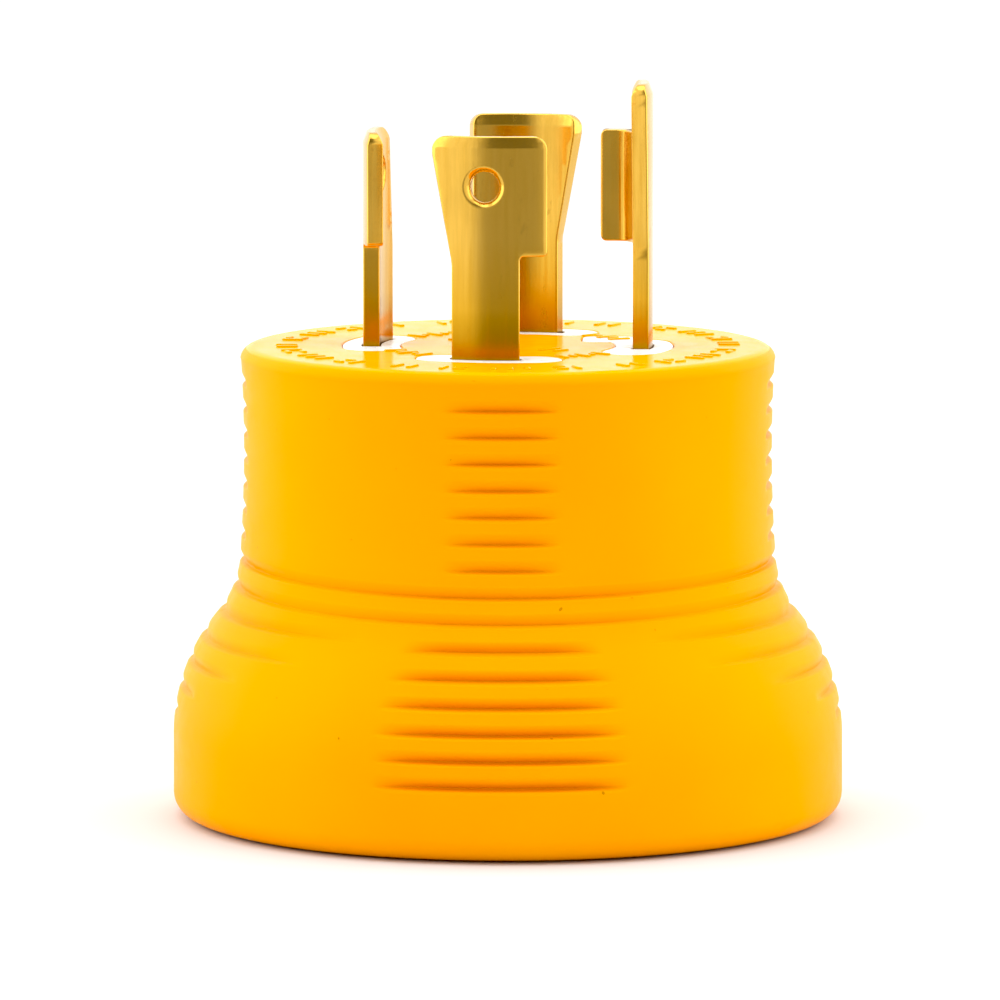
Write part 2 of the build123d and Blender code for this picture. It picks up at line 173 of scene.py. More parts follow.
def rounded(corners, radii, steps=6):
    """Closed outline through the corners, each with its own radius."""
    outline = []
    for i, radius in enumerate(radii):
        corner = Vector(corners[i])
        if not radius:
            outline.append(corner)
            continue
        before = (Vector(corners[i - 1]) - corner).normalized()
        after = (Vector(corners[(i + 1) % len(corners)]) - corner).normalized()
        half = before.angle(after) / 2
        centre = corner + (before + after).normalized() * radius / sin(half)
        start = corner + before * radius / tan(half) - centre
        end = corner + after * radius / tan(half) - centre
        turn = atan2(start.cross(end), start.dot(end))
        outline += [centre + Matrix.Rotation(turn * k / steps, 2) @ start for k in range(steps + 1)]
    return outline


def box_outline(low, high, radius, steps=6):
    corners = [low, (high[0], low[1]), high, (low[0], high[1])]
    return rounded(corners, [radius] * 4, steps)


def divided(outline, step):
    """The same outline with no edge longer than step."""
    points = []
    for a, b in zip(outline, outline[1:] + outline[:1]):
        count = max(1, round((b - a).length / step))
        points += [a.lerp(b, k / count) for k in range(count)]
    return points


def offset(outline, inward):
    """An anticlockwise outline moved inwards, or outwards where inward is negative."""
    moved = []
    for i, p in enumerate(outline):
        before = (p - outline[i - 1]).normalized()
        after = (outline[(i + 1) % len(outline)] - p).normalized()
        n1, n2 = Vector((-before.y, before.x)), Vector((-after.y, after.x))
        moved.append(p + (n1 + n2) * inward / (1 + n1.dot(n2)))
    return moved


def inside(point, outline):
    crossings = 0
    for a, b in zip(outline, outline[1:] + outline[:1]):
        if (a.y > point.y) != (b.y > point.y):
            x = a.x + (point.y - a.y) * (b.x - a.x) / (b.y - a.y)
            crossings += x > point.x
    return crossings % 2 == 1


def merged(first, second):
    """Outer outline of two finely divided outlines that cross twice, with its corners eased."""
    points = []
    for outline, other in ((first, second), (second, first)):
        keep = [not inside(p, other) for p in outline]
        start = next(i for i in range(len(keep)) if keep[i] and not keep[i - 1])
        order = [(start + k) % len(keep) for k in range(len(keep))]
        points += [outline[i] for i in order if keep[i]]
    for _ in range(24):
        neighbours = zip(points[-1:] + points, points, points[1:] + points[:1])
        points = [(before + p * 2 + after) / 4 for before, p, after in neighbours]
    return points[::3]


def boss_outline(direction, grow=0.0):
    """Kidney shape around one blade."""
    middle_r = BLADE_OUTER_R - BLADE_THICKNESS / 2
    half_width = BOSS_WIDTH / 2 + grow
    low, high = direction + BOSS_ANGLE - BOSS_HALF_ARC, direction + BOSS_ANGLE + BOSS_HALF_ARC
    outline = [on_circle(middle_r + half_width, low + (high - low) * k / 32) for k in range(33)]
    outline += [on_circle(middle_r, high) + on_circle(half_width, high + 15 * k) for k in range(1, 12)]
    outline += [on_circle(middle_r - half_width, high + (low - high) * k / 32) for k in range(33)]
    outline += [on_circle(middle_r, low) + on_circle(half_width, low + 180 + 15 * k) for k in range(1, 12)]
    return outline


def carrier_outline(pole, grow=0.0):
    outline = boss_outline(DIRECTIONS[pole], grow)
    if pole != "ground":
        return outline
    low, high = Vector(GROUND_ARM[0]), Vector(GROUND_ARM[1])
    spread = Vector((grow, grow))
    arm = box_outline(low - spread, high + spread, 0.8)
    return merged(divided(outline, 0.12), divided(arm, 0.12))


def side(angle):
    """Sideways place of an edge at this angle on the blade circle."""
    return BLADE_OUTER_R * sin(radians(angle))


def strip_x(radius, y):
    """How far out a circle of this radius lies at sideways place y."""
    return sqrt(radius**2 - y**2)


def stem_outline(pole, grow):
    """Cross-section of a blade's stem, grown all round."""
    low, high = side(STEMS[pole][0]) - grow, side(STEMS[pole][1]) + grow
    places = [low + (high - low) * k / 16 for k in range(17)]
    inner_r = BLADE_OUTER_R - BLADE_THICKNESS
    outline = [Vector((strip_x(BLADE_OUTER_R + grow, y), y)) for y in places]
    outline += [Vector((strip_x(inner_r - grow, y), y)) for y in reversed(places)]
    return turned(outline, DIRECTIONS[pole])


# ---------------------------------------------------------------- meshes
def ring(bm, points):
    return [bm.verts.new(Vector(p) * MM) for p in points]


def bridge(bm, first, second):
    for i in range(len(first)):
        j = (i + 1) % len(first)
        bm.faces.new((first[i], first[j], second[j], second[i]))


def fill(bm, loops, spare=(), lines=(), place=None):
    """Triangles inside the first flat loop and outside the others. A loop is an outline and its vertices."""
    flat, verts, faces = [], [], []
    for outline, vertices in loops:
        faces.append(list(range(len(flat), len(flat) + len(outline))))
        flat += outline
        verts += vertices
    first_spare = len(flat)
    flat += spare
    edges = [(a + first_spare, b + first_spare) for a, b in lines]
    points, _, triangles, origins, _, owners = delaunay_2d_cdt(flat, edges, faces, 1, 1e-6)
    made = {}
    for triangle, owner in zip(triangles, owners):
        if list(owner) != [0]:
            continue
        corners = []
        for i in triangle:
            if i not in made:
                known = [k for k in origins[i] if k < len(verts)]
                made[i] = verts[known[0]] if known else bm.verts.new(Vector(place(*points[i])) * MM)
            corners.append(made[i])
        bm.faces.new(corners)


def round_edge(radius, steps=3):
    """How far in and how deep each line of a rounded edge lies, from the wall to the face."""
    angles = [pi / 2 * k / steps for k in range(steps + 1)]
    return [(radius * (1 - cos(a)), radius * (1 - sin(a))) for a in angles]


def cut_edge(width, soft=0.04):
    """The same for a flat 45 degree chamfer with softened lines."""
    return [(0, width + soft), (soft / 2, width), (width, soft / 2), (width + soft, 0)]


def slab(bm, outlines, edges, thickness, place, grid=((), ())):
    """A plate with holes. Each outline has its own edge, and place puts (u, v, depth) in the frame.
    The grid gives spare points and lines for both faces."""
    spare, lines = grid
    faces = []
    for front in (True, False):
        loops = []
        for i, (outline, edge) in enumerate(zip(outlines, edges)):
            sign = 1 if i == 0 else -1
            rows = []
            for inward, depth in edge:
                moved = offset(outline, sign * inward)
                level = depth if front else thickness - depth
                rows.append((moved, ring(bm, [place(p.x, p.y, level) for p in moved])))
            for (_, a), (_, b) in zip(rows, rows[1:]):
                bridge(bm, a, b)
            loops.append(rows)
        level = 0 if front else thickness
        fill(bm, [rows[-1] for rows in loops], spare, lines, lambda u, v, level=level: place(u, v, level))
        faces.append(loops)
    for front_rows, back_rows in zip(*faces):
        bridge(bm, front_rows[0][1], back_rows[0][1])


def flat_plate(bm, outlines, edges, low_z, high_z, upwards=True):
    """A slab lying flat. Its first face is the top, or the underside if upwards is False."""
    start, sign = (high_z, -1) if upwards else (low_z, 1)
    slab(bm, outlines, edges, high_z - low_z, lambda u, v, depth: (u, v, start + sign * depth))


def lathe(bm, profile, centre=(0, 0), count=TURNS):
    """Rings of vertices for a closed or open profile of (radius, z)."""
    rings = []
    for radius, z in profile:
        rings.append(ring(bm, [(*p, z) for p in circle(radius, centre, count)]))
    for a, b in zip(rings, rings[1:]):
        bridge(bm, a, b)
    return rings


def tube(bm, outer_r, inner_r, low_z, high_z, centre):
    soft = 0.1
    profile = [
        (inner_r, low_z + soft),
        (inner_r + soft, low_z),
        (outer_r - soft, low_z),
        (outer_r, low_z + soft),
        (outer_r, high_z - soft),
        (outer_r - soft, high_z),
        (inner_r + soft, high_z),
        (inner_r, high_z - soft),
    ]
    rings = lathe(bm, profile, centre, 48)
    bridge(bm, rings[-1], rings[0])


def finish_mesh(bm, name, materials, replaces):
    bmesh.ops.remove_doubles(bm, verts=bm.verts, dist=1e-7)
    bmesh.ops.recalc_face_normals(bm, faces=bm.faces)
    mesh = bpy.data.meshes.new(name)
    bm.to_mesh(mesh)
    bm.free()
    for material in materials:
        mesh.materials.append(material)
    mesh.shade_smooth()
    piece = bpy.data.objects.new(name, mesh)
    bpy.context.scene.collection.objects.link(piece)
    weighted = piece.modifiers.new("face_weighted_normals", "WEIGHTED_NORMAL")
    weighted.weight = 60
    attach(piece, "root")
    if replaces:
        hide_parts(*replaces)
    return piece


# ---------------------------------------------------------------- yellow moulding
def body_radius(z):
    """Outside radius at height z without grooves: two tangent arcs for the flare, then a slight waist."""
    rise = FLARE_TOP_Z - FLARE_LOW_Z
    slope = 2 * atan((BASE_R - NECK_R) / rise)
    concave_r = rise / sin(slope) - FLARE_CONVEX_R
    joint_z = FLARE_LOW_Z + FLARE_CONVEX_R * sin(slope)
    if z <= FLARE_LOW_Z:
        return BASE_R
    if z <= joint_z:
        return BASE_R - FLARE_CONVEX_R + sqrt(FLARE_CONVEX_R**2 - (z - FLARE_LOW_Z) ** 2)
    if z < FLARE_TOP_Z:
        return NECK_R + concave_r - sqrt(concave_r**2 - (FLARE_TOP_Z - z) ** 2)
    sag = 1 - ((z - WAIST_Z) / (WAIST_Z - FLARE_TOP_Z)) ** 2
    return NECK_R - (NECK_R - WAIST_R) * sag


def fading(angles, direction, half_angle, power):
    """1 at a direction, falling to 0 at half_angle to each side."""
    away = np.abs((angles - direction + 180) % 360 - 180)
    return np.clip(1 - (away / half_angle) ** power, 0, 1)


def groove_list(angles):
    """Height and depth round the body of every groove."""
    frontness = np.sin(np.radians(angles)) ** 2
    ring_z = SIDE_RING_Z - (SIDE_RING_Z - FRONT_RING_Z) * frontness
    corner = np.sin(np.radians(2 * angles)) ** 2
    ring_depth = RING_DEPTH * (1 - (1 - RING_CORNER_SHARE) * corner)
    grooves = [(ring_z, ring_depth), (ring_z - GROOVE_PITCH, ring_depth)]
    fronts, sides = (-90, 90), (0, 180)
    uppers = ((fronts, FRONT_RING_Z, UPPER_FRONT_PITCH), (sides, SIDE_RING_Z, GROOVE_PITCH))
    for directions, low_z, pitch in uppers:
        depth = UPPER_DEPTH * sum(fading(angles, d, UPPER_HALF_ANGLE, 3) for d in directions)
        grooves += [(low_z + pitch * (i + 1), depth) for i in range(UPPER_COUNT)]
    for i, half_width in enumerate(FRONT_HALF_WIDTHS):
        z = FRONT_RING_Z - GROOVE_PITCH * (i + 2)
        half_angle = np.degrees(np.arcsin(half_width / body_radius(z)))
        grooves.append((z, FRONT_DEPTH * sum(fading(angles, d, half_angle, 4) for d in fronts)))
    for i, half_angle in enumerate(SIDE_HALF_ANGLES):
        z = SIDE_RING_Z - GROOVE_PITCH * (i + 2)
        grooves.append((z, SIDE_DEPTH * sum(fading(angles, d, half_angle, 4) for d in sides)))
    return grooves


def groove_cut(z, grooves):
    """Depth round the body at height z."""
    cut = 0
    for groove_z, depth in grooves:
        above = np.clip((z - groove_z) / GROOVE_RISE, 0, 1)
        below = np.clip((groove_z - z) / GROOVE_STEP, 0, 1)
        cut = cut + depth * (1 - above) ** 1.4 * (1 - below) ** 1.5
    return cut


def body_heights(grooves):
    """Heights of the body's rows: fine across each groove and coarse between."""
    corner_z = FACE_Z - TOP_FILLET
    heights = set(np.linspace(BASE_FILLET, FLARE_LOW_Z, 5)) | set(np.linspace(FLARE_LOW_Z, corner_z, 60))
    for z, _ in grooves:
        low, high = np.min(z) - GROOVE_STEP, np.max(z) + GROOVE_RISE
        heights |= set(np.linspace(low, high, round((high - low) / ROW_STEP)))
    kept = []
    for z in sorted(h for h in heights if BASE_FILLET <= h <= corner_z):
        if not kept or z - kept[-1] > ROW_STEP / 2:
            kept.append(z)
    return kept


def make_overmold(body_finish, lit_face_finish):
    bm = bmesh.new()
    cut_layer = bm.verts.layers.float.new("groove")
    angles = np.array([360 * i / TURNS for i in range(TURNS)])
    grooves = groove_list(angles)
    soft = 0.12
    bore_r = CARRIER_R + GAP
    mouth_r = SOCKET_R + GAP
    inner = [
        (bore_r, CEILING_Z),
        (bore_r, HOUSING_TOP_Z),
        (HOUSING_R, HOUSING_TOP_Z),
        (HOUSING_R, SOCKET_TOP_Z),
        (mouth_r, SOCKET_TOP_Z),
        (mouth_r, 0.4),
        (mouth_r + 0.4, 0),
        (mouth_r + 0.4 + soft, 0),
    ]
    base_arc = [radians(90 * k / 8) for k in range(9)]
    inner += [(BASE_R - BASE_FILLET * (1 - sin(a)), BASE_FILLET * (1 - cos(a))) for a in base_arc[:-1]]
    rings = lathe(bm, inner)
    for z in body_heights(grooves):
        cut = groove_cut(z, grooves)
        radii = body_radius(z) - cut
        row = ring(bm, [(*on_circle(r, a), z) for r, a in zip(radii, angles)])
        for vertex, depth in zip(row, np.broadcast_to(cut, angles.shape)):
            vertex[cut_layer] = depth
        bridge(bm, rings[-1], row)
        rings.append(row)
    top_arc = base_arc[1:]
    outer = [(NECK_R - TOP_FILLET * (1 - cos(a)), FACE_Z - TOP_FILLET * (1 - sin(a))) for a in top_arc]
    outer += [(NECK_R - TOP_FILLET - soft, FACE_Z), (bore_r, FACE_Z)]
    first_top = len(bm.faces)
    top_rings = lathe(bm, outer)
    bridge(bm, rings[-1], top_rings[0])
    ceiling, top = rings[0], top_rings[-1]
    openings = [carrier_outline(pole, GAP) for pole in DIRECTIONS]
    edge = round_edge(0.2)
    loops = {}
    for level, sign, rim in ((FACE_Z, -1, edge), (CEILING_Z, 1, [(0, 0)])):
        loops[level] = []
        for outline in openings:
            rows = []
            for inward, depth in rim:
                moved = offset(outline, -inward)
                rows.append((moved, ring(bm, [(*p, level + sign * depth) for p in moved])))
            for (_, a), (_, b) in zip(rows, rows[1:]):
                bridge(bm, a, b)
            loops[level].append(rows)
    bore = circle(bore_r, count=TURNS)
    fill(bm, [(bore, top)] + [rows[-1] for rows in loops[FACE_Z]])
    fill(bm, [(bore, ceiling)] + [rows[-1] for rows in loops[CEILING_Z]])
    for upper, lower in zip(loops[FACE_Z], loops[CEILING_Z]):
        bridge(bm, upper[0][1], lower[0][1])
    bm.faces.ensure_lookup_table()
    # The top face and its rim take the lighter face material, which paints light on the top.
    for face in bm.faces[first_top:]:
        if face.calc_center_median().z > (FACE_Z - 0.3) * MM:
            face.material_index = 1
    return finish_mesh(bm, "overmold", [body_finish, lit_face_finish], ["overmold_shell"])


def bar_outline(radius, angle, length, width, radial):
    """A small bar on the face, lying along the radius or across it."""
    along, across = (length / 2, width / 2) if radial else (width / 2, length / 2)
    outline = box_outline((radius - along, -across), (radius + along, across), min(along, across) * 0.6, 3)
    return turned(outline, angle)


def make_face_marks(finish):
    """Plain raised bars where the real face carries raised characters."""
    bm = bmesh.new()
    bars = []
    rhythm = (1, 1, 0, 1, 2, 0, 1, 1, 1, 0, 2, 1, 0, 0)
    count = 84
    for i in range(count):
        kind = rhythm[i % len(rhythm)]
        angle = 360 * i / count + 2
        if kind == 1:
            bars.append(bar_outline(22.3, angle, 2.2, 0.55, True))
        if kind == 2:
            bars.append(bar_outline(21.5, angle, 1.3, 0.55, False))
            bars.append(bar_outline(23.1, angle, 1.3, 0.55, False))
    for middle in (-52, 38, 128, 218):
        for k, length in enumerate((2.4, 1.2, 2.4, 0.8, 2.4)):
            bars.append(bar_outline(12.5, middle + (k - 2) * 5.5, length, 0.6, True))
    for middle in (-45, 135):
        bars.append(bar_outline(6.0, middle, 3.0, 0.6, False))
        bars.append(bar_outline(7.6, middle, 2.0, 0.6, False))
    for outline in bars:
        flat_plate(bm, [outline], [round_edge(0.12, 2)], FACE_Z - 0.2, FACE_Z + 0.16)
    return finish_mesh(bm, "face_marks", [finish], [])


# ---------------------------------------------------------------- plug end
def make_carrier(finish):
    bm = bmesh.new()
    slots = [stem_outline(pole, 0.12) for pole in DIRECTIONS]
    plain = round_edge(0.1, 2)
    flat_plate(bm, [circle(CARRIER_R, count=TURNS)] + slots, [plain] * 5, CARRIER_LOW_Z, CEILING_Z)
    for pole, slot in zip(DIRECTIONS, slots):
        outlines = [carrier_outline(pole), slot]
        if pole == "ground":
            outlines.append(box_outline(*ARM_SLOT, 0.08))
        edges = [round_edge(0.22), round_edge(0.1, 2), round_edge(0.05, 1)][: len(outlines)]
        flat_plate(bm, outlines, edges, CEILING_Z - 0.6, FACE_Z)
    return finish_mesh(bm, "carrier", [finish], ["plug_carrier"])


def blade_place(pole, tip_z):
    """Puts (sideways, z, depth) of a flat blank on the blade circle, thinned towards its tip."""
    turn = Matrix.Rotation(radians(DIRECTIONS[pole]), 3, "Z")

    def place(y, z, depth):
        above = min(max((z - tip_z) / TIP_BEVEL_HEIGHT + 1, 0), 1)
        squeeze = 1 - 2 * TIP_BEVEL_DEPTH * above / BLADE_THICKNESS
        middle = BLADE_THICKNESS / 2
        radius = BLADE_OUTER_R - middle - (depth - middle) * squeeze
        share = radius / BLADE_OUTER_R
        return turn @ Vector((strip_x(BLADE_OUTER_R, y) * share, y * share, z))

    return place


def blade_grid(outline, hole, tip_z):
    """Spare points for a blade's faces, rings of them round its hole, and lines along the tip bevel."""
    rim = divided(outline, 0.3)
    low_y, high_y = min(p.x for p in outline), max(p.x for p in outline)
    low_z = min(p.y for p in outline)
    bevel_z = tip_z - TIP_BEVEL_HEIGHT
    spare, lines = [], []
    reach = 0
    if hole:
        reach = HOLE_R + COUNTERSINK + 0.75
        for radius in (reach - 0.5, reach - 0.2):
            spare += circle(radius, hole, 48)
    rows = [low_z + 0.9 * k for k in range(1, int((bevel_z - low_z - 0.6) / 0.9) + 1)]
    rows += [bevel_z - 0.1, bevel_z, bevel_z + 0.1, bevel_z + 0.5]
    count = round((high_y - low_y) / 0.5)
    for z in rows:
        before = None
        for k in range(count + 1):
            p = Vector((low_y + (high_y - low_y) * k / count, z))
            free = inside(p, outline) and min((p - q).length for q in rim) > 0.3
            if free and (not hole or (p - Vector(hole)).length > reach):
                spare.append(p)
                if before is not None and abs(z - bevel_z) < 0.2:
                    lines.append((before, len(spare) - 1))
                before = len(spare) - 1
            else:
                before = None
    return spare, lines


def blade_tail(bm, pole):
    """Narrow tail through the carrier and the crimp barrel under it."""
    low, high = side(LEAD_ANGLE - 7), side(LEAD_ANGLE + 7)
    outline = box_outline((low, BARREL_Z[1] - 2), (high, CARRIER_LOW_Z + 2), 0.2, 2)
    slab(bm, [divided(outline, 0.6)], [round_edge(0.12, 2)], BLADE_THICKNESS, blade_place(pole, FACE_Z + 60))
    middle_r = BLADE_OUTER_R - BLADE_THICKNESS / 2
    tube(bm, BARREL_R, BARREL_BORE_R, *BARREL_Z, on_circle(middle_r, DIRECTIONS[pole] + LEAD_ANGLE))


def make_blade(pole, corners, radii, tip_z, finish, hole=True):
    bm = bmesh.new()
    outline = divided(rounded(corners, radii), 0.6)
    outlines, edges = [outline], [round_edge(0.16)]
    if hole:
        centre = (side(HOLE_ANGLE), HOLE_Z)
        outlines.append(circle(HOLE_R, centre, 48))
        edges.append(cut_edge(COUNTERSINK))
        grid = blade_grid(outline, centre, tip_z)
    else:
        grid = blade_grid(outline, None, tip_z)
    slab(bm, outlines, edges, BLADE_THICKNESS, blade_place(pole, tip_z), grid)
    blade_tail(bm, pole)
    if pole == "ground":
        add_ground_tab(bm)
    return finish_mesh(bm, f"blade_{pole}_formed", [finish], [f"blade_{pole}"])


def add_ground_tab(bm):
    """The tab folded inwards from the far edge of the ground blade."""
    root_x = strip_x(BLADE_OUTER_R - BLADE_THICKNESS, TAB_ROOT_Y)
    far_y = TAB_Y + BLADE_THICKNESS
    corners = [
        (TAB_INNER_X, TAB_Y),
        (root_x, TAB_Y),
        (root_x, TAB_ROOT_Y),
        (strip_x(BLADE_OUTER_R - 0.3, TAB_ROOT_Y), TAB_ROOT_Y),
        (strip_x(BLADE_OUTER_R, far_y) + 0.3, far_y),
        (TAB_INNER_X, far_y),
    ]
    outline = rounded(corners, [0.25, TAB_BEND_R, 0, 0, 1.5, 0.25])
    half = (TAB_TOP_Z - TAB_LOW_Z) / 2

    def place(x, y, depth):
        """Puts a point in the frame, with the upper and lower corners of the free edge rounded off."""
        short = min(max(TAB_INNER_X + TAB_CORNER_R - x, 0), TAB_CORNER_R)
        drop = TAB_CORNER_R - strip_x(TAB_CORNER_R, short)
        return (x, y, TAB_LOW_Z + half + (half - depth) * (1 - drop / half))

    slab(bm, [divided(outline, 0.12)], [round_edge(0.16)], 2 * half, place)


def make_blades(finish):
    low_z = CARRIER_LOW_Z + 0.4
    radii = [0.3, 0.3, 0.4, 0.4, TIP_CORNER_R, TIP_CORNER_R, 0.8, 6.0]
    for pole in ("x", "y", "neutral"):
        stem, head, top_z = STEMS[pole], HEADS[pole], BLADE_TOPS[pole]
        corners = [
            (side(stem[0]), low_z),
            (side(stem[1]), low_z),
            (side(stem[1]), HOOK_Z),
            (side(head[1]), HOOK_Z),
            (side(head[1]), top_z),
            (side(head[0]), top_z),
            (side(head[0]), TAPER_TOP_Z),
            (side(stem[0]), TAPER_LOW_Z),
        ]
        make_blade(pole, corners, radii, top_z, finish)
    stem, head, top_z = STEMS["ground"], HEADS["ground"], BLADE_TOPS["ground"]
    corners = [
        (side(stem[0]), low_z),
        (side(stem[1]), low_z),
        (side(stem[1]), TAB_LOW_Z),
        (side(head[1]), TAB_LOW_Z),
        (side(head[1]), TAB_TOP_Z),
        (side(GROUND_TIP_ANGLE), TAB_TOP_Z),
        (side(GROUND_TIP_ANGLE), top_z),
        (side(head[0]), top_z),
        (side(head[0]), GROUND_TAPER_TOP_Z),
        (side(stem[0]), TAPER_LOW_Z),
    ]
    radii = [0.3, 0.3, 0.4, 0.3, 0.3, 0.4, TIP_CORNER_R, TIP_CORNER_R, 0.8, 6.0]
    make_blade("ground", corners, radii, top_z, finish, hole=False)


# ---------------------------------------------------------------- socket end
def make_socket_face(finish):
    bm = bmesh.new()
    half = (SLOT_LENGTH / 2, SLOT_WIDTH / 2)
    outlines = [circle(SOCKET_R, count=TURNS)]
    for x, y in ((0, -HOT_SLOT_Y), (0, HOT_SLOT_Y), (NEUTRAL_SLOT_X, 0)):
        outlines.append(box_outline((x - half[0], y - half[1]), (x + half[0], y + half[1]), 0.3))
    outlines.append(circle(GROUND_HOLE_R, (GROUND_HOLE_X, 0)))
    edges = [round_edge(0.4)] + [cut_edge(0.35)] * 4
    flat_plate(bm, outlines, edges, SOCKET_LOW_Z, SOCKET_TOP_Z, upwards=False)
    return finish_mesh(bm, "socket_plate", [finish], ["socket_face"])


# ---------------------------------------------------------------- materials
class Nodes:
    """Short calls for one material's node tree. Coordinates are in millimetres."""

    def __init__(self, name):
        self.material = bpy.data.materials.new(name)
        self.material.use_nodes = True
        self.tree = self.material.node_tree
        self.shader = self.tree.nodes["Principled BSDF"]
        place = self.tree.nodes.new("ShaderNodeTexCoord").outputs["Object"]
        self.place = self.math_vector("SCALE", place, scale=1 / MM)

    def link(self, value, socket):
        if isinstance(value, bpy.types.NodeSocket):
            self.tree.links.new(value, socket)
        else:
            socket.default_value = value

    def set(self, **values):
        for name, value in values.items():
            self.link(value, self.shader.inputs[name.replace("_", " ")])

    def math_vector(self, operation, a, b=None, scale=None):
        node = self.tree.nodes.new("ShaderNodeVectorMath")
        node.operation = operation
        self.link(a, node.inputs[0])
        if b is not None:
            self.link(b, node.inputs[1])
        if scale is not None:
            node.inputs["Scale"].default_value = scale
        return node.outputs[0]

    def noise(self, scale, stretch=(1, 1, 1), detail=3.0, roughness=0.5):
        """Noise from 0 to 1; scale is in features per millimetre."""
        node = self.tree.nodes.new("ShaderNodeTexNoise")
        self.link(self.math_vector("MULTIPLY", self.place, stretch), node.inputs["Vector"])
        node.inputs["Scale"].default_value = scale
        node.inputs["Detail"].default_value = detail
        node.inputs["Roughness"].default_value = roughness
        return node.outputs["Fac"]

    def height(self):
        """Millimetres above the floor."""
        node = self.tree.nodes.new("ShaderNodeSeparateXYZ")
        self.link(self.place, node.inputs[0])
        return node.outputs["Z"]

    def attribute(self, name):
        node = self.tree.nodes.new("ShaderNodeAttribute")
        node.attribute_name = name
        return node.outputs["Fac"]

    def span(self, value, low, high, to_low=0.0, to_high=1.0):
        """Value mapped from low..high to to_low..to_high, held at both ends."""
        node = self.tree.nodes.new("ShaderNodeMapRange")
        self.link(value, node.inputs["Value"])
        for name, number in zip(("From Min", "From Max", "To Min", "To Max"), (low, high, to_low, to_high)):
            node.inputs[name].default_value = number
        return node.outputs["Result"]

    def math(self, operation, a, b):
        node = self.tree.nodes.new("ShaderNodeMath")
        node.operation = operation
        self.link(a, node.inputs[0])
        self.link(b, node.inputs[1])
        return node.outputs[0]

    def mix(self, factor, a, b):
        """Colour a, turning into b as the factor goes to 1."""
        node = self.tree.nodes.new("ShaderNodeMix")
        node.data_type = "RGBA"
        self.link(factor, node.inputs["Factor"])
        for value, socket in zip((a, b), [s for s in node.inputs if s.type == "RGBA"]):
            self.link((*value, 1.0) if isinstance(value, tuple) else value, socket)
        return next(s for s in node.outputs if s.type == "RGBA")

    def bump(self, height, distance):
        """distance is in millimetres."""
        node = self.tree.nodes.new("ShaderNodeBump")
        self.link(height, node.inputs["Height"])
        node.inputs["Distance"].default_value = distance * MM
        node.inputs["Strength"].default_value = 1.0
        self.link(node.outputs["Normal"], self.shader.inputs["Normal"])


def vinyl(name, light, dark, roughness, sheen_level, bump_depth):
    """Yellow moulded plastic with painted shade inside its grooves, darker where they cut deeper, and a few
    small dark specks.
    """
    n = Nodes(name)
    cloudy = n.noise(0.06, detail=2)
    colour = n.mix(n.span(cloudy, 0.3, 0.7), dark, light)
    # Painted shade: the colour darkens with each groove's cut depth, standing in for the shade inside the
    # grooves.
    colour = n.mix(n.span(n.attribute("groove"), 0.02, 0.65, 0, 0.3), colour, (0.6, 0.2, 0.0))
    colour = n.mix(n.span(n.noise(1.1, detail=0), 0.875, 0.9, 0, 0.6), colour, (0.3, 0.12, 0.01))
    pebble = n.noise(3.5, detail=4, roughness=0.65)
    n.set(Base_Color=colour, Specular_IOR_Level=sheen_level)
    n.set(Roughness=n.span(n.noise(0.5), 0.3, 0.7, roughness - 0.04, roughness + 0.06))
    n.bump(pebble, bump_depth)
    return n.material


def brass(name):
    """Bright rolled brass with vertical rolling lines, dull patches and small dark marks, a painted orange
    reflection of the yellow face low on the blade and painted shade at its foot.
    """
    n = Nodes(name)
    lines = n.noise(2.2, stretch=(1, 1, 0.05), detail=5, roughness=0.6)
    patches = n.noise(0.22, stretch=(1, 1, 0.45), detail=4, roughness=0.55)
    marks = n.noise(0.5, stretch=(1, 1, 0.35), detail=6, roughness=0.7)
    colour = n.mix(n.span(lines, 0.35, 0.7), (0.72, 0.43, 0.075), (0.65, 0.375, 0.055))
    colour = n.mix(n.span(patches, 0.52, 0.7, 0, 0.25), colour, (0.45, 0.27, 0.045))
    colour = n.mix(n.span(marks, 0.6, 0.72, 0, 0.55), colour, (0.22, 0.12, 0.025))
    # Painted reflection: orange from the yellow face, strongest up to 4 mm above the face and gone by 12 mm.
    colour = n.mix(n.span(n.height(), FACE_Z + 4, FACE_Z + 12, 0.7, 0), colour, (0.6, 0.31, 0.008))
    # Painted shade: dark brown at the foot, fading out 5 mm above the face.
    colour = n.mix(n.span(n.height(), FACE_Z, FACE_Z + 5, 0.75, 0), colour, (0.3, 0.14, 0.003))
    n.set(Base_Color=colour, Metallic=1.0)
    dull = n.math("ADD", n.span(lines, 0.3, 0.7, 0.14, 0.24), n.span(marks, 0.6, 0.75, 0, 0.2))
    n.set(Roughness=dull)
    n.bump(lines, 0.004)
    return n.material


def plain_plastic(name, light, dark, roughness):
    n = Nodes(name)
    n.set(Base_Color=n.mix(n.span(n.noise(0.15), 0.35, 0.65), light, dark), Specular_IOR_Level=0.4)
    n.set(Roughness=n.span(n.noise(0.8), 0.3, 0.7, roughness - 0.05, roughness + 0.07))
    n.bump(n.noise(2.5, detail=4), 0.008)
    return n.material


def plain_metal(name, light, dark, roughness):
    n = Nodes(name)
    lines = n.noise(2.0, stretch=(1, 1, 0.1), detail=4)
    n.set(Base_Color=n.mix(n.span(lines, 0.3, 0.7), light, dark), Metallic=1.0)
    n.set(Roughness=n.span(lines, 0.3, 0.7, roughness, roughness + 0.15))
    n.bump(lines, 0.006)
    return n.material


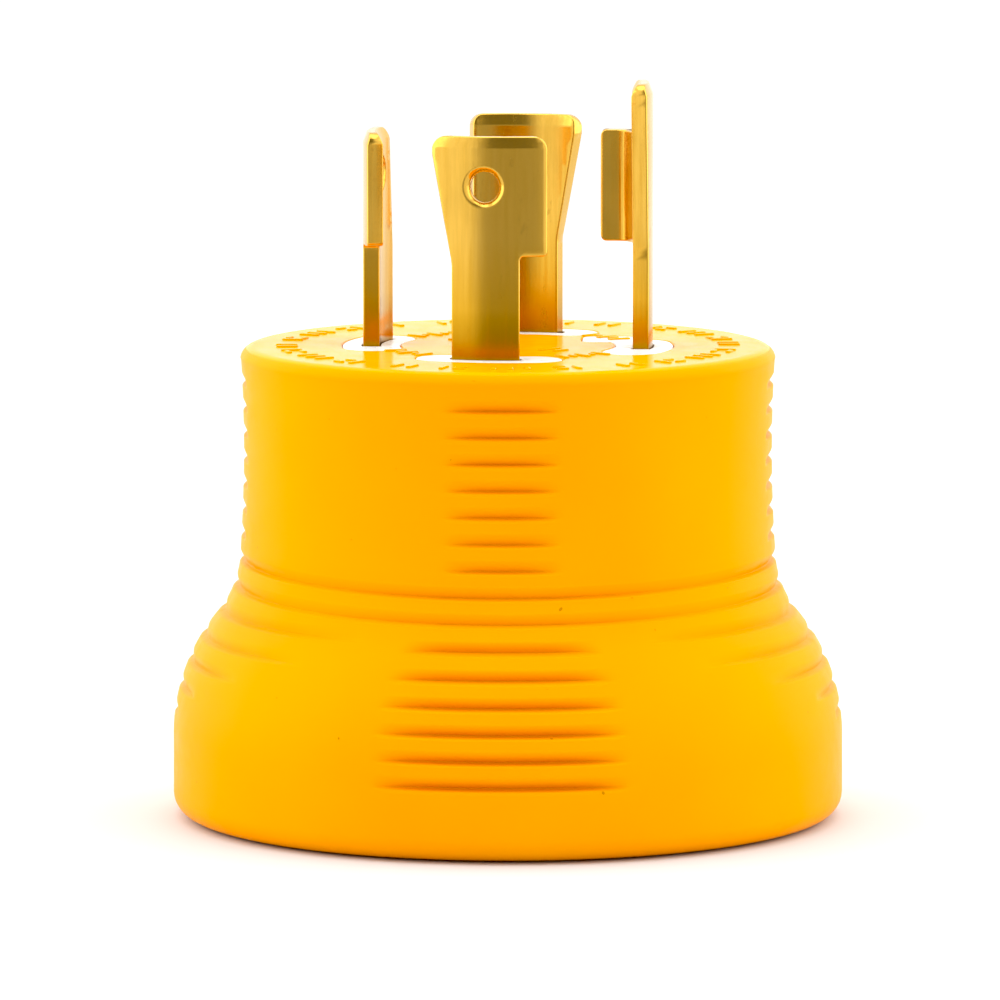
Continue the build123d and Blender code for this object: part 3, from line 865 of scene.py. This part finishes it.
def finish_cad_nodes():
    """The nodes that keep their CAD shape get the finish of their kind."""
    finishes = {
        "contact_housing": plain_plastic("grey_nylon", (0.16, 0.165, 0.17), (0.12, 0.125, 0.13), 0.45),
        "inner_premold": plain_plastic("black_filler", (0.03, 0.03, 0.032), (0.02, 0.02, 0.021), 0.6),
        "contact": plain_metal("contact_brass", (0.85, 0.6, 0.22), (0.7, 0.46, 0.14), 0.2),
        "spring_clip": plain_metal("spring_steel", (0.62, 0.62, 0.63), (0.45, 0.45, 0.47), 0.25),
        "lead": plain_metal("copper", (0.85, 0.42, 0.25), (0.7, 0.3, 0.16), 0.3),
        "sleeve_x": plain_plastic("sleeve_black", (0.025, 0.025, 0.025), (0.04, 0.04, 0.04), 0.5),
        "sleeve_y": plain_plastic("sleeve_red", (0.5, 0.02, 0.015), (0.4, 0.015, 0.012), 0.5),
        "sleeve_neutral": plain_plastic("sleeve_white", (0.75, 0.75, 0.72), (0.65, 0.65, 0.62), 0.5),
        "sleeve_ground": plain_plastic("sleeve_green", (0.02, 0.22, 0.06), (0.015, 0.16, 0.045), 0.5),
    }
    for name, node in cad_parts.items():
        if node.hide_render:
            continue
        kind = next(k for k in (name, name.rsplit("_", 1)[0]) if k in finishes)
        node.data.materials.clear()
        node.data.materials.append(finishes[kind])


# ---------------------------------------------------------------- stage
def make_floor():
    bm = bmesh.new()
    bmesh.ops.create_circle(bm, cap_ends=True, segments=128, radius=FLOOR_R)
    mesh = bpy.data.meshes.new("floor")
    bm.to_mesh(mesh)
    bm.free()
    floor = bpy.data.objects.new("floor", mesh)
    floor.location = FLOOR_PLACE
    bpy.context.scene.collection.objects.link(floor)
    n = Nodes("floor_paper")
    n.set(Base_Color=(0.7, 0.7, 0.7, 1), Roughness=0.8, Specular_IOR_Level=0.1)
    mesh.materials.append(n.material)


def area_light(name, place, aim, size, radiance):
    """A soft box; radiance is how bright its face looks."""
    light = bpy.data.lights.new(name, "AREA")
    light.shape = "RECTANGLE"
    light.size, light.size_y = size
    light.energy = radiance * pi * size[0] * size[1]
    lamp = bpy.data.objects.new(name, light)
    bpy.context.scene.collection.objects.link(lamp)
    lamp.location = place
    lamp.rotation_euler = (Vector(aim) - Vector(place)).to_track_quat("-Z", "Y").to_euler()
    lamp.visible_camera = False


def map_range(nodes, links, value, source, target):
    node = nodes.new("ShaderNodeMapRange")
    links.new(value, node.inputs["Value"])
    node.inputs["From Min"].default_value, node.inputs["From Max"].default_value = source
    node.inputs["To Min"].default_value, node.inputs["To Max"].default_value = target
    return node.outputs["Result"]


def make_world():
    """A white studio whose front wall, behind the camera, is dim. The camera itself sees plain white."""
    world = bpy.data.worlds.new("studio")
    bpy.context.scene.world = world
    world.use_nodes = True
    nodes, links = world.node_tree.nodes, world.node_tree.links
    nodes.clear()
    place = nodes.new("ShaderNodeTexCoord")
    level = nodes.new("ShaderNodeVectorMath")
    level.operation = "MULTIPLY"
    level.inputs[1].default_value = (1, 1, 0)
    links.new(place.outputs["Generated"], level.inputs[0])
    heading = nodes.new("ShaderNodeVectorMath")
    heading.operation = "NORMALIZE"
    links.new(level.outputs[0], heading.inputs[0])
    front = nodes.new("ShaderNodeVectorMath")
    front.operation = "DOT_PRODUCT"
    turn = radians(FRONT_WALL_TURN)
    front.inputs[1].default_value = (sin(turn), -cos(turn), 0)
    links.new(heading.outputs[0], front.inputs[0])
    fades = [cos(radians(a)) for a in reversed(FRONT_WALL_ANGLES)]
    wall = map_range(nodes, links, front.outputs["Value"], fades, (0, 1))
    split = nodes.new("ShaderNodeSeparateXYZ")
    links.new(place.outputs["Generated"], split.inputs[0])
    heights = [sin(radians(a)) for a in FRONT_CEILING_ANGLES]
    dim = map_range(nodes, links, split.outputs["Z"], heights, (FRONT_WALL_LEVEL, FRONT_CEILING_LEVEL))
    strength = nodes.new("ShaderNodeMix")
    links.new(wall, strength.inputs["Factor"])
    strength.inputs["A"].default_value = STUDIO_LEVEL
    links.new(dim, strength.inputs["B"])
    lit = nodes.new("ShaderNodeBackground")
    lit.inputs["Color"].default_value = (1, 1, 1, 1)
    links.new(strength.outputs["Result"], lit.inputs["Strength"])
    seen = nodes.new("ShaderNodeBackground")
    seen.inputs["Color"].default_value = (1, 1, 1, 1)
    seen.inputs["Strength"].default_value = BACKDROP_LEVEL
    path = nodes.new("ShaderNodeLightPath")
    choose = nodes.new("ShaderNodeMixShader")
    links.new(path.outputs["Is Camera Ray"], choose.inputs["Fac"])
    links.new(lit.outputs[0], choose.inputs[1])
    links.new(seen.outputs[0], choose.inputs[2])
    output = nodes.new("ShaderNodeOutputWorld")
    links.new(choose.outputs[0], output.inputs["Surface"])


def make_camera():
    """Long lens, slightly above the object, turned a little round it."""
    elevation, azimuth = radians(CAMERA_ELEVATION), radians(CAMERA_AZIMUTH)
    aim = Vector(CAMERA_AIM)
    back = Vector((sin(azimuth) * cos(elevation), -cos(azimuth) * cos(elevation), sin(elevation)))
    data = bpy.data.cameras.new("camera")
    data.sensor_width = 36
    data.lens = CAMERA_LENS
    camera = bpy.data.objects.new("camera", data)
    bpy.context.scene.collection.objects.link(camera)
    camera.location = aim + back * CAMERA_DISTANCE
    camera.rotation_euler = (-back).to_track_quat("-Z", "Y").to_euler()
    data.clip_start, data.clip_end = 0.05, 20
    bpy.context.scene.camera = camera


body_finish = vinyl("yellow_body", (0.95, 0.36, 0.0), (0.95, 0.34, 0.0), 0.32, 0.02, 0.012)
# Same yellow plastic as the body, with a lighter base colour as painted light on the top face; its lower
# roughness is its glossier finish.
lit_face_finish = vinyl("yellow_face_lit", (0.95, 0.42, 0.0), (0.95, 0.39, 0.0), 0.18, 0.03, 0.003)
make_overmold(body_finish, lit_face_finish)
make_face_marks(lit_face_finish)
make_carrier(plain_plastic("white_nylon", (0.86, 0.86, 0.84), (0.8, 0.8, 0.78), 0.3))
make_blades(brass("blade_brass"))
make_socket_face(plain_plastic("black_face", (0.03, 0.03, 0.032), (0.022, 0.022, 0.024), 0.4))
finish_cad_nodes()

make_floor()
area_light("left_box", (-0.85, 0.10, 0.40), (0, 0, 0.04), (1.3, 1.2), 1.2)
area_light("right_box", (0.85, 0.10, 0.40), (0, 0, 0.04), (1.3, 1.2), 1.2)
area_light("top_box", (0, 0.05, 1.1), (0, 0, 0), (0.9, 0.9), 1.7)
make_world()
make_camera()
view = bpy.context.scene.view_settings
view.view_transform = "Standard"
view.use_curve_mapping = True
view.curve_mapping.black_level = (BLACK_LEVEL, BLACK_LEVEL, BLACK_LEVEL)
view.curve_mapping.update()
